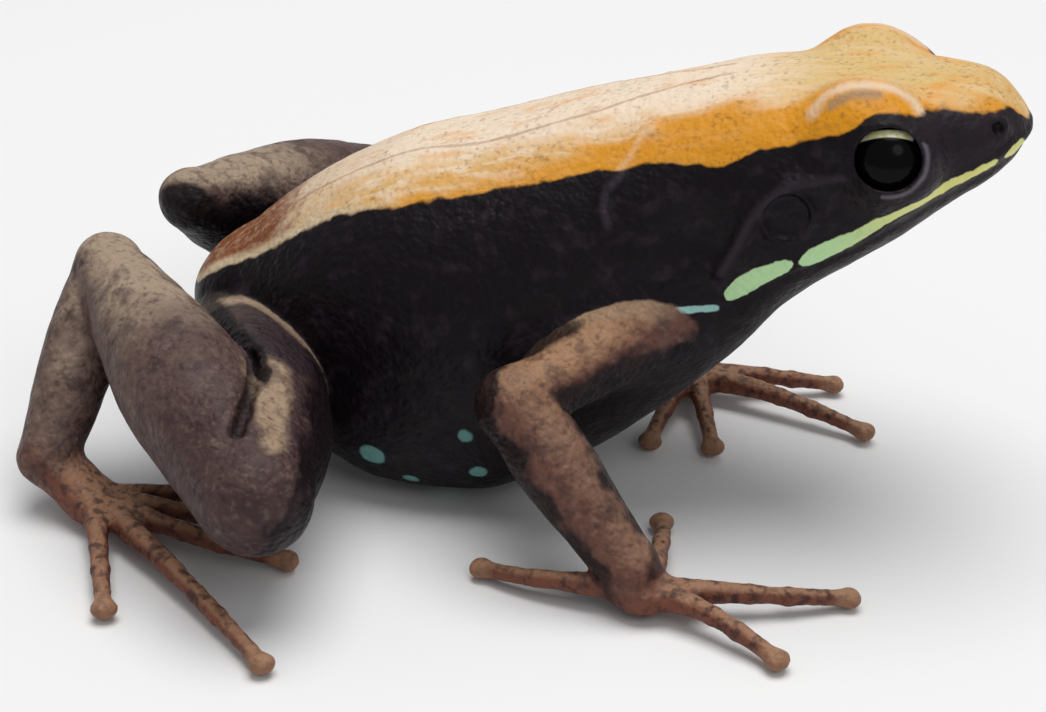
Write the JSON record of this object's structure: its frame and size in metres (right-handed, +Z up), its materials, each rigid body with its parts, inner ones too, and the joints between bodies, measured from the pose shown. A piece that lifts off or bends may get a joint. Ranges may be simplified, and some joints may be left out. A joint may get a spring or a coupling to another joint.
{
  "type": "brown mantella frog",
  "caption": "Small golden-brown and black frog, still and life size, resting on the floor with its forequarters raised and its hind legs folded.",
  "frame": {"origin": "on the floor, under the middle of the frog's outline seen from above", "axes": "+X towards the snout, +Y to the frog's left, +Z up"},
  "size_m": [0.0282, 0.0274, 0.0142],
  "materials": {
    "back_skin": "moist satin, fine dark speckles",
    "head_skin": "moist satin, black below the eye line, pale green lip",
    "limb_skin": "granular satin, mottled grey-brown",
    "digit_skin": "satin, rusty brown with paler pads",
    "eye_surface": "wet gloss, black with a golden-green band"
  },
  "bodies": {
    "root": {"torso": "back_skin", "eye_right": "eye_surface", "eye_left": "eye_surface", "head": "head_skin", "thigh_right": "limb_skin", "shank_right": "limb_skin", "tarsus_right": "limb_skin", "foot_right": "digit_skin", "toe_1_right": "digit_skin", "toe_2_right": "digit_skin", "toe_3_right": "digit_skin", "toe_4_right": "digit_skin", "toe_5_right": "digit_skin", "thigh_left": "limb_skin", "shank_left": "limb_skin", "tarsus_left": "limb_skin", "foot_left": "digit_skin", "toe_1_left": "digit_skin", "toe_2_left": "digit_skin", "toe_3_left": "digit_skin", "toe_4_left": "digit_skin", "toe_5_left": "digit_skin", "upper_arm_right": "limb_skin", "forearm_right": "limb_skin", "hand_right": "digit_skin", "finger_1_right": "digit_skin", "finger_2_right": "digit_skin", "finger_3_right": "digit_skin", "finger_4_right": "digit_skin", "upper_arm_left": "limb_skin", "forearm_left": "limb_skin", "hand_left": "digit_skin", "finger_1_left": "digit_skin", "finger_2_left": "digit_skin", "finger_3_left": "digit_skin", "finger_4_left": "digit_skin"}
  },
  "joints": []
}
